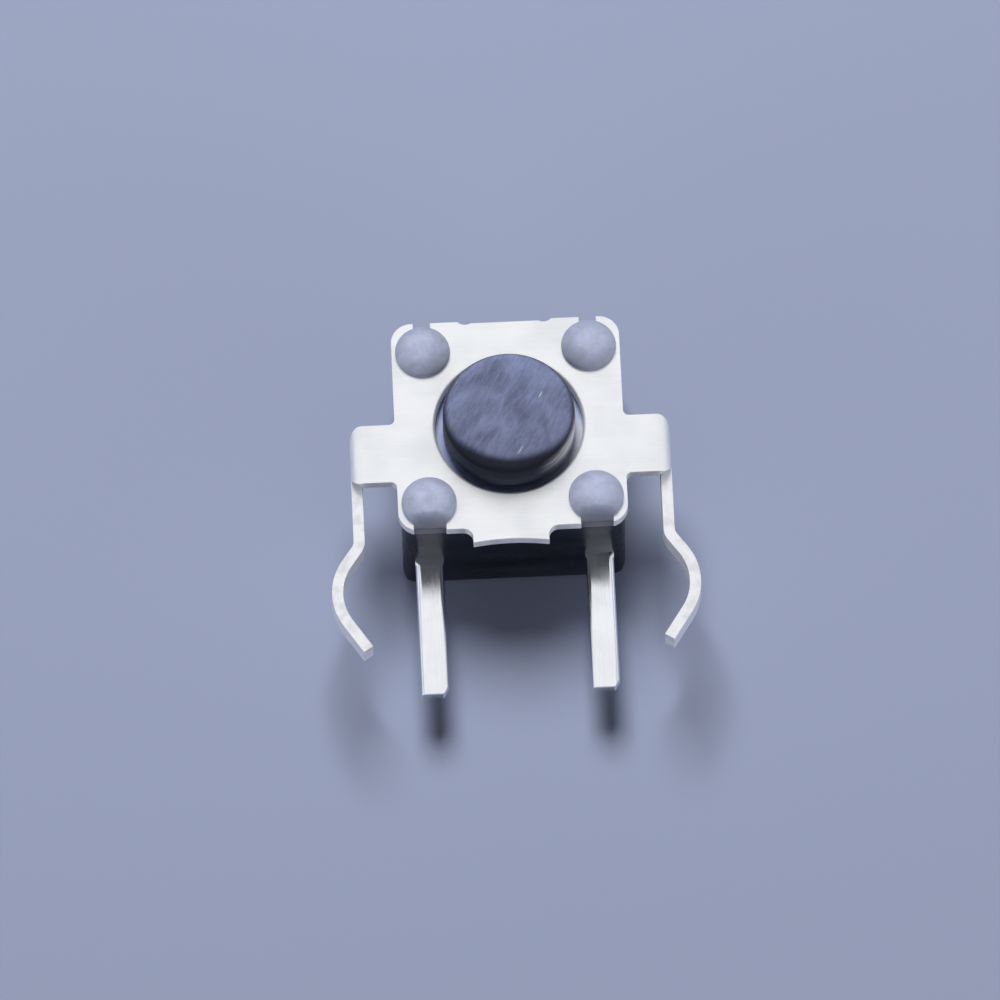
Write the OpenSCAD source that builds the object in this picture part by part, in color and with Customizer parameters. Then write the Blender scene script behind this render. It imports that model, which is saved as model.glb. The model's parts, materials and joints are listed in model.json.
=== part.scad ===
// Right-angle tactile push switch with a snap-in cover bracket.
// Origin: centre of the moulded base's back face, on the button axis.
// +Z is the way the button faces, +X is to the right, and the terminals and snap legs point to -Y.

/* [Base] */
// Width and height of the moulded base, seen along the button axis
body_w = 5.9; // [5.6:0.1:6.6]
// Depth of the moulded base, from its back face to the seat of the cover
body_h = 3.1; // [2.9:0.1:4.0]
// Radius of the base's four corners
body_corner_r = 0.45; // [0.2:0.05:0.6]
// Chamfer round the base's back edge
body_chamfer = 0.15; // [0.05:0.05:0.3]
// Diameter of the round chamber that holds the dome and the plunger's flange
chamber_d = 4.8; // [4.7:0.05:5.0]

/* [Heat stakes] */
// Distance between neighbouring stakes, the same both ways
stake_pitch = 4.4; // [4.35:0.05:4.5]
// Diameter of a stake's neck, where it passes the cover
stake_neck_d = 0.8; // [0.6:0.05:0.9]
// Diameter of a melted stake head
stake_head_d = 1.45; // [1.1:0.05:1.5]
// Height of the straight rim under a stake head's dome
stake_rim_h = 0.1; // [0.05:0.05:0.2]
// Height of the dome on a stake head, above its rim
stake_dome_h = 0.28; // [0.15:0.01:0.4]

/* [Cover bracket] */
// Thickness of the sheet that the cover and its legs are stamped from
sheet_t = 0.3; // [0.2:0.05:0.35]
// Width and height of the cover's square plate
plate_w = 6.05; // [5.8:0.05:6.4]
// Distance that the plate sits above the button axis, towards +Y
plate_shift = 0.05; // [0:0.01:0.1]
// Radius of the plate's corners
plate_corner_r = 0.55; // [0.3:0.05:0.7]
// Diameter of the hole that the button comes through
hole_d = 3.9; // [3.8:0.05:4.1]
// Clearance between a stake's neck and the open notch that it stands in
notch_gap = 0.05; // [0.02:0.01:0.1]
// Width of the upper notches where they open through the plate's edge
upper_slit_w = 0.45; // [0.3:0.05:0.8]
// Width of the lower notches where they open through the plate's edge
lower_slit_w = 0.85; // [0.3:0.05:0.85]
// Width of the stop tab below the plate
tab_w = 2.0; // [1.4:0.1:2.2]
// Distance that the stop tab reaches below the plate
tab_len = 0.42; // [0.3:0.02:0.6]
// Distance that the stop tab sits to the left of the button axis
tab_offset = 0.08; // [0:0.02:0.2]
// Radius of the fillets beside the stop tab
tab_fillet_r = 0.26; // [0.1:0.02:0.28]
// Depth of the hollow in the stop tab's edge
tab_hollow = 0.08; // [0.02:0.01:0.1]
// Width of the cropped strip link on the plate's upper edge
link_w = 1.68; // [1.0:0.02:2.0]
// Distance from the plate's upper edge down to the link's cropped end
link_drop = 0.05; // [0.02:0.01:0.08]
// Width of the relief notch on each side of the link
relief_w = 0.4; // [0.2:0.05:0.5]
// Depth of a relief notch
relief_depth = 0.09; // [0.05:0.01:0.15]

/* [Ears] */
// Height of an ear, along Y
ear_h = 1.68; // [1.4:0.02:2.0]
// Distance of an ear's middle below the button axis
ear_drop = 0.7; // [0.5:0.05:0.8]
// Radius of an ear's outer corners
ear_corner_r = 0.3; // [0.1:0.05:0.4]
// Radius of the inner corners between an ear and the plate
ear_root_r = 0.15; // [0.1:0.05:0.3]
// Outer radius of the fold between an ear and its leg
fold_r = 0.4; // [0.35:0.01:0.5]

/* [Snap legs] */
// Distance of a leg's straight part from the button axis, to the middle of the sheet
leg_x = 4.08; // [3.9:0.02:4.4]
// Depth of a leg along the button axis
leg_depth = 0.6; // [0.4:0.05:1.0]
// Length of a leg below the base
leg_len = 3.2; // [2.9:0.1:4.0]
// Length of a leg's straight part below the base
leg_straight = 0.08; // [0.04:0.02:0.5]
// Angle at which a leg bends outwards
leg_out_angle = 35; // [25:1:40]
// Angle at which a leg comes back in
leg_in_angle = 33; // [20:1:38]
// Radius of a leg's first bend, to the middle of the sheet
leg_kink_r = 0.4; // [0.3:0.05:0.6]
// Radius of a leg's bow, to the middle of the sheet
leg_bow_r = 1.55; // [1.0:0.05:1.8]
// Distance that the bow swings out from the straight part
leg_bow_out = 0.62; // [0.5:0.02:0.8]

/* [Terminals] */
// Distance between the two terminals
term_pitch = 4.5; // [4.3:0.1:4.7]
// Width of a terminal
term_w = 0.75; // [0.5:0.05:0.9]
// Thickness of the terminal strip
term_t = 0.3; // [0.2:0.05:0.4]
// Distance from the back face to a terminal's lower side
term_z = 1.2; // [0.8:0.05:1.3]
// Length of a terminal below the base
term_len = 3.9; // [3.0:0.05:4.5]
// Length of the cut on a terminal's tip, along the terminal
tip_cut_len = 0.25; // [0.1:0.05:0.4]
// Width that the cut takes off the right side of a terminal's tip
tip_cut_w = 0.14; // [0.05:0.01:0.3]
// Diameter of the contact pad under the middle of the dome
pad_d = 1.5; // [1.0:0.1:1.8]
// Depth to which the inner strip of the middle contact is coined down, under the moulding
coin_t = 0.1; // [0.05:0.01:0.15]
// Width of the common contact's ring
ring_w = 0.6; // [0.4:0.05:0.7]
// Depth to which the ring's outer edge is held in the chamber's wall
ring_bite = 0.05; // [0.02:0.01:0.1]
// Insulating gap between the two contacts
contact_gap = 0.3; // [0.2:0.05:0.4]

/* [Snap dome] */
// Diameter of the dome
dome_d = 4.4; // [4.2:0.05:4.5]
// Height of the dome, over its sheet
dome_h = 0.32; // [0.3:0.01:0.4]
// Thickness of the dome's sheet
dome_t = 0.06; // [0.05:0.01:0.08]

/* [Plunger] */
// Diameter of the button
button_d = 3.5; // [3.3:0.05:3.6]
// Height of the button above the cover
button_h = 0.9; // [0.6:0.1:6.0]
// Radius of the button's top edge
button_edge_r = 0.1; // [0.05:0.01:0.2]
// Radial clearance of the plunger's flange in the chamber
flange_gap = 0.1; // [0.05:0.01:0.15]
// Thickness of the plunger's flange
flange_t = 0.85; // [0.6:0.05:0.9]
// Clearance between the flange and the cover
flange_play = 0.05; // [0.02:0.01:0.1]
// Diameter of the nub that presses the dome
nub_d = 1.2; // [0.8:0.1:1.6]
// Clearance between the nub and the top of the dome
nub_play = 0.02; // [0.01:0.01:0.05]

/* [Hidden] */
$fn = 96;

arc_steps = 14;
arm_angle = 45;
half_body = body_w / 2;
cover_z = body_h;
cover_top = cover_z + sheet_t;
floor_z = term_z + term_t;
chamber_r = chamber_d / 2;
ring_outer_r = chamber_r + ring_bite;
ring_inner_r = ring_outer_r - ring_w;
elbow = term_pitch / 2;
plate_low = plate_shift - plate_w / 2;
plate_high = plate_shift + plate_w / 2;
ear_low = -ear_drop - ear_h / 2;
ear_high = -ear_drop + ear_h / 2;
ear_outer = leg_x + sheet_t / 2;
fold_x = ear_outer - fold_r;
fold_z = cover_top - fold_r;
notch_w = stake_neck_d + 2 * notch_gap;
stake_y = stake_pitch / 2;
flange_top = cover_z - flange_play;
flange_low = flange_top - flange_t;
nub_low = floor_z + dome_h + nub_play;

// A rounded rectangle, centred on the origin.
module rounded_rect(w, h, r) {
    square([w, h - 2 * r], center = true);
    square([w - 2 * r, h], center = true);
    for (x = [-1, 1], y = [-1, 1])
        translate([x * (w / 2 - r), y * (h / 2 - r)]) circle(r);
}

// The corner that a fillet fills: a square less its round, in the corner x > 0, y > 0.
module fillet(r) {
    difference() {
        square(r);
        translate([r, r]) circle(r);
    }
}

// How wide a stake's notch is where it opens, on the upper (1) or the lower (-1) edge.
function slit_w(side) = side > 0 ? upper_slit_w : lower_slit_w;

// ---- Base ----

// The outline that chamfers the base's back edge, seen across the button axis. It runs on past
// the cover's seat, where the base's own height ends it.
module base_side() {
    polygon([
        [-half_body, body_chamfer], [-half_body + body_chamfer, 0],
        [half_body - body_chamfer, 0], [half_body, body_chamfer],
        [half_body, cover_top], [-half_body, cover_top]
    ]);
}

module base_block() {
    intersection() {
        linear_extrude(body_h) rounded_rect(body_w, body_w, body_corner_r);
        translate([0, half_body, 0]) rotate([90, 0, 0]) linear_extrude(body_w) base_side();
        translate([-half_body, 0, 0]) rotate([90, 0, 90]) linear_extrude(body_w) base_side();
    }
}

// A stake on the upper (1) or the lower (-1) edge: a neck that fills the cover's notch out to
// the base's side, and the head that was melted over it. The neck starts inside the base and
// ends inside the head.
module stake(side) {
    dome_r = (pow(stake_head_d / 2, 2) + pow(stake_dome_h, 2)) / (2 * stake_dome_h);
    head_h = stake_rim_h + stake_dome_h;
    fill_w = slit_w(side) - 2 * notch_gap;
    translate([0, 0, cover_z - sheet_t]) cylinder(d = stake_neck_d, h = 2 * sheet_t + stake_rim_h);
    mirror([0, side > 0 ? 0 : 1]) translate([-fill_w / 2, 0, cover_z - sheet_t])
        cube([fill_w, half_body - stake_y, 2 * sheet_t]);
    intersection() {
        translate([0, 0, cover_top + head_h - dome_r]) sphere(dome_r);
        translate([0, 0, cover_top]) cylinder(d = stake_head_d, h = head_h);
    }
}

module base() {
    color([0.07, 0.07, 0.08]) {
        difference() {
            base_block();
            translate([0, 0, floor_z]) cylinder(r = chamber_r, h = body_h);
            contact_terminal_shape();
            common_terminal_shape();
        }
        for (x = [-1, 1], side = [-1, 1])
            translate([x * stake_y, side * stake_y, 0]) stake(side);
    }
}

// ---- Terminals ----

// The straight leg of the terminal at x, up to its elbow inside the base.
module terminal_leg(x) {
    tip_y = -half_body - term_len;
    half_w = term_w / 2;
    translate([x, 0]) polygon([
        [-half_w, -elbow], [-half_w, tip_y], [half_w - tip_cut_w, tip_y],
        [half_w, tip_y + tip_cut_len], [half_w, -elbow]
    ]);
    translate([x, -elbow]) circle(d = term_w);
}

// The inner strip of a terminal, from its elbow to the radius r, at an angle from +X.
module inner_strip(angle, r) {
    rotate(angle) translate([r, -term_w / 2]) square([elbow * sqrt(2) - r, term_w]);
}

module contact_terminal_shape() {
    translate([0, 0, term_z]) {
        linear_extrude(term_t) terminal_leg(term_pitch / 2);
        linear_extrude(term_t - coin_t) inner_strip(-arm_angle, 0);
        linear_extrude(term_t) circle(d = pad_d);
    }
}

module common_terminal_shape() {
    mid_r = ring_outer_r - ring_w / 2;
    gap_w = term_w + 2 * contact_gap;
    translate([0, 0, term_z]) linear_extrude(term_t) {
        terminal_leg(-term_pitch / 2);
        inner_strip(180 + arm_angle, mid_r);
        difference() {
            circle(ring_outer_r);
            circle(ring_inner_r);
            rotate(-arm_angle) translate([0, -gap_w / 2]) square([2 * ring_outer_r, gap_w]);
        }
    }
}

module contact_terminal() {
    color([0.86, 0.87, 0.88]) contact_terminal_shape();
}

module common_terminal() {
    color([0.86, 0.87, 0.88]) common_terminal_shape();
}

// ---- Snap dome ----

// Points on the arc of a cap of height h over a rim of radius r, from the rim to the axis.
function cap_arc(r, h) =
    let (cap_r = (r * r + h * h) / (2 * h), reach = asin(r / cap_r))
    [for (i = [0:arc_steps]) let (a = reach * (1 - i / arc_steps))
        [cap_r * sin(a), h - cap_r * (1 - cos(a))]];

function reversed(points) = [for (i = [len(points) - 1:-1:0]) points[i]];

module snap_dome() {
    over = cap_arc(dome_d / 2, dome_h);
    under = cap_arc(dome_d / 2 - dome_t, dome_h - dome_t);
    color([0.75, 0.76, 0.78]) translate([0, 0, floor_z])
        rotate_extrude() polygon(concat(over, reversed(under)));
}

// ---- Plunger ----

module plunger() {
    flange_r = chamber_r - flange_gap;
    top = cover_top + button_h;
    color([0.09, 0.09, 0.1]) rotate_extrude() {
        translate([0, flange_low]) square([flange_r, flange_t]);
        translate([0, flange_low]) square([button_d / 2, top - button_edge_r - flange_low]);
        translate([0, flange_low]) square([button_d / 2 - button_edge_r, top - flange_low]);
        intersection() {
            translate([button_d / 2 - button_edge_r, top - button_edge_r]) circle(button_edge_r);
            square([button_d / 2, top]);
        }
        translate([0, nub_low]) square([nub_d / 2, flange_top - nub_low]);
    }
}

// ---- Cover bracket ----

// The stop tab: fillets beside it, and a slightly hollow lower edge.
module stop_tab() {
    hollow_r = (pow(tab_w / 2, 2) + pow(tab_hollow, 2)) / (2 * tab_hollow);
    translate([-tab_offset, plate_low]) {
        difference() {
            translate([-tab_w / 2, -tab_len]) square([tab_w, tab_len + tab_fillet_r]);
            translate([0, tab_hollow - tab_len - hollow_r]) circle(hollow_r, $fn = 360);
        }
        for (side = [0, 1])
            mirror([side, 0]) translate([tab_w / 2, 0]) mirror([0, 1]) fillet(tab_fillet_r);
    }
}

// What is cut from the plate's upper edge: the link's cropped end, with a relief notch on each
// side of it.
module link_cuts() {
    relief_r = (pow(relief_w / 2, 2) + pow(relief_depth, 2)) / (2 * relief_depth);
    translate([-(link_w + relief_w) / 2, plate_high - link_drop]) square([link_w + relief_w, 2 * link_drop]);
    for (x = [-1, 1])
        translate([x * (link_w + relief_w) / 2, plate_high - relief_depth + relief_r]) circle(relief_r);
}

// An ear on the right, out to the outside of its fold, with rounded corners.
module ear() {
    translate([0, -ear_drop]) {
        translate([0, -ear_h / 2]) square([ear_outer - ear_corner_r, ear_h]);
        translate([0, -ear_h / 2 + ear_corner_r]) square([ear_outer, ear_h - 2 * ear_corner_r]);
        for (y = [-1, 1])
            translate([ear_outer - ear_corner_r, y * (ear_h / 2 - ear_corner_r)]) circle(ear_corner_r);
    }
    translate([plate_w / 2, ear_high]) fillet(ear_root_r);
    translate([plate_w / 2, ear_low]) mirror([0, 1]) fillet(ear_root_r);
}

// The notch in the plate for a stake on the upper (1) or the lower (-1) edge: round at the
// stake, and open through the edge.
module stake_notch(side) {
    circle(d = notch_w);
    mirror([0, side > 0 ? 0 : 1]) translate([-slit_w(side) / 2, 0]) square([slit_w(side), plate_w]);
}

// The flat outline of the cover, seen along the button axis.
module cover_outline() {
    difference() {
        union() {
            translate([0, plate_shift]) rounded_rect(plate_w, plate_w, plate_corner_r);
            for (side = [0, 1]) mirror([side, 0]) ear();
            stop_tab();
        }
        circle(d = hole_d);
        link_cuts();
        for (x = [-1, 1], side = [-1, 1])
            translate([x * stake_y, side * stake_y]) stake_notch(side);
    }
}

// A straight run of a leg, heading to -Y. Its children go on from its end.
module leg_run(length) {
    translate([-sheet_t / 2, -length]) square([sheet_t, length]);
    translate([0, -length]) children();
}

// A bend of a leg, to radius r at the middle of the sheet. A positive angle turns it to +X.
module leg_bend(r, angle) {
    side = sign(angle);
    start = side > 0 ? 180 : 0;
    translate([side * r, 0]) {
        intersection() {
            difference() {
                circle(r + sheet_t / 2);
                circle(r - sheet_t / 2);
            }
            polygon([[0, 0], for (a = [0, angle / 2, angle]) 2 * r * [cos(start + a), sin(start + a)]]);
        }
        rotate(angle) translate([-side * r, 0]) children();
    }
}

// The outline of the right leg, seen along the button axis.
module leg_outline() {
    rise = (leg_kink_r + leg_bow_r) * (1 - cos(leg_out_angle));
    slope_len = (leg_bow_out - rise) / sin(leg_out_angle);
    start_y = ear_high - ear_corner_r;
    first_len = start_y + half_body + leg_straight;
    bent = leg_straight + (leg_kink_r + leg_bow_r) * sin(leg_out_angle)
        + slope_len * cos(leg_out_angle) + leg_bow_r * sin(leg_in_angle);
    last_len = (leg_len - bent) / cos(leg_in_angle);
    translate([leg_x, start_y])
        leg_run(first_len) leg_bend(leg_kink_r, leg_out_angle) leg_run(slope_len)
        leg_bend(leg_bow_r, -leg_out_angle - leg_in_angle) leg_run(last_len);
}

// The right ear's fold, from flat to upright, with the ear's rounded corners.
module ear_fold() {
    intersection() {
        translate([fold_x, ear_high, fold_z]) rotate([90, 0, 0]) difference() {
            cylinder(r = fold_r, h = ear_h);
            translate([0, 0, -sheet_t]) cylinder(r = fold_r - sheet_t, h = ear_h + 2 * sheet_t);
        }
        translate([fold_x, ear_low, fold_z]) cube([fold_r, ear_h, fold_r]);
        translate([0, 0, fold_z]) linear_extrude(fold_r) ear();
    }
}

module cover_bracket() {
    color([0.82, 0.83, 0.85]) {
        translate([0, 0, cover_z]) linear_extrude(sheet_t) intersection() {
            cover_outline();
            square([2 * fold_x, 3 * plate_w], center = true);
        }
        for (side = [0, 1]) mirror([side, 0, 0]) {
            ear_fold();
            translate([0, 0, fold_z - leg_depth]) linear_extrude(leg_depth) leg_outline();
        }
    }
}

base();
contact_terminal();
common_terminal();
snap_dome();
plunger();
cover_bracket();
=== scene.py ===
"""Looks of a right-angle tactile push switch with a snap-in cover bracket."""

import json
import math
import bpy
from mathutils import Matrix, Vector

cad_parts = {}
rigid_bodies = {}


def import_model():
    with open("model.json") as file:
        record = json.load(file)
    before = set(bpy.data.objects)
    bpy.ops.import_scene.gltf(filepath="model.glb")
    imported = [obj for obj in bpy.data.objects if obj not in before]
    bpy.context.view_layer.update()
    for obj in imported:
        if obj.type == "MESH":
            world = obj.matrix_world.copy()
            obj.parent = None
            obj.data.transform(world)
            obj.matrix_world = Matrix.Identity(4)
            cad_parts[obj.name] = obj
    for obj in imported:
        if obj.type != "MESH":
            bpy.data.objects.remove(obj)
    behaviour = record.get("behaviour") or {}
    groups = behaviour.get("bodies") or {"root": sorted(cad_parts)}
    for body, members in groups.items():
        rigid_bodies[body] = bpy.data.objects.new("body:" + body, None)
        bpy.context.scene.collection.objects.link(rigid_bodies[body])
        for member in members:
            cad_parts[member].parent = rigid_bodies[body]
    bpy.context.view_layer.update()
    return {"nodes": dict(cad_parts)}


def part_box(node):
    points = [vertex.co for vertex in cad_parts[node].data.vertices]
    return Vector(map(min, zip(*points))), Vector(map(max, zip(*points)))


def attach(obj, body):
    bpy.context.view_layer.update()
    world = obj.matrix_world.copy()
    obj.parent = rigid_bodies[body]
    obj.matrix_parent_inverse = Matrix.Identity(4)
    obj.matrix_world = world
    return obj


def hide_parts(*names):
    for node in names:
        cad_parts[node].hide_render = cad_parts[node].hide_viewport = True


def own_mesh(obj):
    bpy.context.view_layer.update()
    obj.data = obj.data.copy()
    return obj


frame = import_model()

from types import SimpleNamespace

import bmesh
import bpy
from bpy.props import FloatProperty, FloatVectorProperty, IntProperty, PointerProperty
from bpy.types import Operator, Panel, PropertyGroup
from mathutils import Matrix, Vector

bl_info = {
    "name": "Tactile Switch Finish",
    "version": (1, 0, 0),
    "blender": (4, 5, 0),
    "location": "3D View > Sidebar > Tactile Switch",
    "description": "Builds the finished surfaces of a tactile push switch round its packed frame",
    "category": "Object",
}

MM = 0.001
# Faces across an ear and round its fold.
EAR_ROWS = 18
FOLD_STEPS = 16
# Millimetres: the grid that the stakes' heads are melted on, and the dish in the button's top.
MELT_GRID = 0.022
TOP_DISH = 0.008
# Shares of the terminals' edge rounding on the lower long edges and at the tip.
LOWER_EDGE = 0.6
TIP_EDGE = 0.27
BASE_LOW, BASE_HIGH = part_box("base")
COVER_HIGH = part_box("cover_bracket")[1]
PLUNGER_LOW, PLUNGER_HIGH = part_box("plunger")
DOME_LOW, DOME_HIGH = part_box("snap_dome")


# ---- Settings ----

def length(name, description, default_mm):
    return FloatProperty(name=name, description=description, default=default_mm * MM, min=0,
                         unit="LENGTH", subtype="DISTANCE", precision=5)


def angle(name, description, degrees):
    return FloatProperty(name=name, description=description, default=math.radians(degrees),
                         unit="ROTATION", subtype="ANGLE")


def colour(name, description, default):
    return FloatVectorProperty(name=name, description=description, default=default, size=4,
                               min=0, max=1, subtype="COLOR")


def light(name, description, default):
    return FloatProperty(name=name, description=description, default=default, min=0)


class StageSettings(PropertyGroup):
    """The floor and the light that the switch is shown in."""

    floor: colour("Floor", "Colour of the floor", (0.36, 0.405, 0.57, 1))
    key_level: light("Key light", "The key lamp's light on a surface that faces it", 1.0)
    side_level: light("Side light", "A low side lamp's light on a surface that faces it", 0.45)
    fill_level: light("Fill light", "Light from all round, mostly from behind", 0.045)


class BaseSettings(PropertyGroup):
    """The moulded base."""

    seat_radius: length("Seat edge", "Radius of the edge under the cover", 0.04)
    plastic: colour("Plastic", "Colour of the moulded plastic", (0.0075, 0.0090, 0.0140, 1))


class StakeSettings(PropertyGroup):
    """The heat stakes that hold the cover."""

    pitch: length("Pitch", "Distance between neighbouring stakes", 4.4)
    head_diameter: length("Head", "Diameter of a melted head", 1.45)
    rim_height: length("Rim", "Height of the straight rim under a head's dome", 0.1)
    dome_height: length("Dome", "Height of the dome above the rim", 0.28)
    neck_diameter: length("Neck", "Diameter of the neck in the cover's notch", 0.8)
    fill_width: length("Fill", "Width of the plastic in a lower notch", 0.87)
    run_height: length("Run", "Height of the plastic that ran out of a lower notch", 0.1)
    # The heads' pale tone: partly the haze of heat-staked plastic, mostly a painted sheen for the bright
    # light that glossy heads send back.
    haze: colour("Haze", "Colour of the heat-hazed heads", (0.535, 0.58, 0.785, 1))


class CoverSettings(PropertyGroup):
    """The stamped cover and its ears."""

    thickness: length("Sheet", "Thickness of the sheet", 0.3)
    width: length("Plate", "Width and height of the square plate", 6.05)
    shift: length("Shift", "Distance of the plate's middle above the button axis", 0.05)
    corner_radius: length("Corner radius", "Radius of the plate's corners", 0.55)
    hole: length("Hole", "Diameter of the hole for the button", 3.9)
    notch: length("Notch", "Diameter of the notch round a stake's neck", 0.9)
    upper_slit: length("Upper slit", "Width of an upper notch at the plate's edge", 0.45)
    lower_slit: length("Lower slit", "Width of a lower notch at the plate's edge", 0.85)
    tab_width: length("Tab width", "Width of the stop tab", 2)
    tab_length: length("Tab length", "Reach of the stop tab below the plate", 0.42)
    tab_offset: length("Tab offset", "Distance of the tab to the left", 0.08)
    tab_fillet: length("Tab fillet", "Radius beside the tab", 0.26)
    tab_hollow: length("Tab hollow", "Depth of the hollow in the tab's edge", 0.08)
    link_width: length("Link", "Width of the cropped strip link", 1.68)
    link_drop: length("Link drop", "Depth of the link's cropped end", 0.05)
    relief_width: length("Relief width", "Width of a relief notch", 0.4)
    relief_depth: length("Relief depth", "Depth of a relief notch", 0.09)
    ear_height: length("Ear height", "Height of an ear", 1.68)
    ear_drop: length("Ear drop", "Distance of an ear's middle below the button axis", 0.7)
    ear_corner: length("Ear corner", "Radius of an ear's outer corners", 0.3)
    ear_root: length("Ear root", "Radius between an ear and the plate", 0.15)
    fold_radius: length("Fold", "Outer radius of the fold between ear and leg", 0.4)
    edge_roll: length("Edge roll", "Rounding that stamping leaves on the edges", 0.028)
    hole_roll: length("Hole roll", "Rounding of the hole's edge", 0.09)
    tin: colour("Tin", "Colour of the tinned steel", (0.91, 0.92, 0.94, 1))


class LegSettings(PropertyGroup):
    """The snap legs."""

    spread: length("Spread", "Distance of a leg from the button axis", 4.08)
    depth: length("Depth", "Depth of a leg along the button axis", 0.6)
    reach: length("Reach", "Length of a leg below the base", 3.2)
    straight: length("Straight", "Length of a leg's straight part below the base", 0.08)
    out_angle: angle("Out angle", "Angle at which a leg bends outwards", 35)
    in_angle: angle("In angle", "Angle at which a leg comes back in", 33)
    kink_radius: length("Kink", "Radius of the first bend", 0.4)
    bow_radius: length("Bow", "Radius of the bow", 1.55)
    bow_out: length("Bow out", "Distance that the bow swings out", 0.62)


class TerminalSettings(PropertyGroup):
    """The two terminals."""

    edge_round: length("Edge round", "Rounding of the strip's long edges", 0.15)
    tin: colour("Tin", "Colour of the tinned strip", (0.91, 0.92, 0.94, 1))


class ButtonSettings(PropertyGroup):
    """The plunger with its button, and the snap dome under it."""

    diameter: length("Button", "Diameter of the button", 3.5)
    edge_radius: length("Edge", "Radius of the button's top edge", 0.3)
    flange_height: length("Flange", "Thickness of the flange that keeps the plunger in", 0.85)
    flange_play: length("Play", "Clearance between the flange and the cover", 0.05)
    nub_diameter: length("Nub", "Diameter of the nub that presses the dome", 1.2)
    dome_thickness: length("Dome sheet", "Thickness of the snap dome", 0.06)
    segments: IntProperty(name="Segments", default=192, min=24, description="Faces round a turned piece")
    # Partly a painted sheen: the same black plastic as the side, made lighter for the light that the matt
    # top sends back.
    top: colour("Top", "Colour of the matt top", (0.172, 0.197, 0.321, 1))
    side: colour("Side", "Colour of the smooth side", (0.030, 0.034, 0.052, 1))


def in_mm(settings):
    """A settings group's values, its lengths in millimetres."""
    values = {}
    for key in settings.__annotations__:
        rna = settings.bl_rna.properties[key]
        value = getattr(settings, key)
        values[key] = value / MM if getattr(rna, "unit", "") == "LENGTH" else value
    return SimpleNamespace(**values)


# ---- Mesh help. Pieces are drawn in millimetres and end in metres. ----

def new_object(name, mesh):
    made = bpy.data.objects.new(name, mesh)
    bpy.context.scene.collection.objects.link(made)
    return made


def mesh_from(bm, name):
    mesh = bpy.data.meshes.new(name)
    bm.to_mesh(mesh)
    bm.free()
    return mesh


def evaluated_mesh(drawn):
    """The mesh that an object's modifiers give. The object itself is removed."""
    graph = bpy.context.evaluated_depsgraph_get()
    mesh = bpy.data.meshes.new_from_object(drawn.evaluated_get(graph), depsgraph=graph)
    old = drawn.data
    bpy.data.objects.remove(drawn)
    bpy.data.meshes.remove(old)
    return mesh


def piece_from(mesh, name, body, nodes, materials, sharp=40):
    """Ends a piece: smooths it so that its flat faces stay flat, scales it to metres, and gives it
    its finish and its body."""
    if not mesh.polygons:
        raise RuntimeError(f"{name} came out empty")
    mesh.polygons.foreach_set("use_smooth", [True] * len(mesh.polygons))
    mesh.set_sharp_from_angle(angle=math.radians(sharp))
    drawn = new_object(name + "_drawn", mesh)
    flat = drawn.modifiers.new("flat", "WEIGHTED_NORMAL")
    flat.keep_sharp = True
    mesh = evaluated_mesh(drawn)
    mesh.transform(Matrix.Scale(MM, 4))
    mesh.name = name
    for i, material in enumerate(materials):
        if i < len(mesh.materials):
            mesh.materials[i] = material
        else:
            mesh.materials.append(material)
    piece = new_object(name, mesh)
    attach(piece, body)
    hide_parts(*nodes)
    return piece


def packed_solid(node):
    """The solid of a packed node, in millimetres."""
    bm = bmesh.new()
    bm.from_mesh(frame["nodes"][node].data)
    bmesh.ops.scale(bm, vec=(1 / MM,) * 3, verts=bm.verts)
    bmesh.ops.remove_doubles(bm, verts=bm.verts, dist=1e-4)
    return bm


def cut_across(bm, place, way, drop_outer=False):
    bmesh.ops.bisect_plane(bm, geom=[*bm.verts, *bm.edges, *bm.faces], dist=1e-6,
                           plane_co=place, plane_no=way, clear_outer=drop_outer)


def join_flat_faces(bm):
    bmesh.ops.dissolve_limit(bm, angle_limit=math.radians(0.5), verts=bm.verts, edges=bm.edges)


def outward(bm):
    bmesh.ops.recalc_face_normals(bm, faces=bm.faces)
    if bm.calc_volume(signed=True) < 0:
        bmesh.ops.reverse_faces(bm, faces=bm.faces)


def closed(mesh):
    """A turned mesh with its faces outwards. It raises an error if the mesh isn't closed."""
    bm = bmesh.new()
    bm.from_mesh(mesh)
    bmesh.ops.remove_doubles(bm, verts=bm.verts, dist=2e-4)
    if any(not e.is_manifold for e in bm.edges):
        raise RuntimeError(f"{mesh.name} isn't closed")
    outward(bm)
    bm.to_mesh(mesh)
    bm.free()
    return mesh


def weigh_edges(bm, share):
    """Gives each edge its share of the rounding to come."""
    weights = bm.edges.layers.float.new("bevel_weight_edge")
    for e in bm.edges:
        e[weights] = float(share(e))


def add_bevel(drawn, width, segments, limit=None):
    """Rounds the edges that are sharper than limit in degrees, or else the weighted edges."""
    bevel = drawn.modifiers.new("edge", "BEVEL")
    bevel.width = width
    bevel.segments = segments
    bevel.miter_outer = "MITER_ARC"
    bevel.limit_method = "WEIGHT"
    if limit is not None:
        bevel.limit_method = "ANGLE"
        bevel.angle_limit = math.radians(limit)


def arc(centre, radius, start, end, steps):
    """Points on an arc from one angle to another, in degrees."""
    turns = [math.radians(start + (end - start) * i / steps) for i in range(steps + 1)]
    return [(centre[0] + radius * math.cos(a), centre[1] + radius * math.sin(a)) for a in turns]


def steps_between(a, b, count):
    return [a + (b - a) * i / count for i in range(count + 1)]


def arc_radius(half, rise):
    """The radius of an arc that is twice half wide and rises by rise."""
    return (half ** 2 + rise ** 2) / (2 * rise)


def cap(radius, low, height, steps):
    """A dome's profile from its top down to its rim."""
    ball = arc_radius(radius, height)
    return [(ball * math.sin(a), low + height - ball * (1 - math.cos(a)))
            for a in steps_between(0, math.asin(radius / ball), steps)]


# ---- Node trees ----

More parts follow.
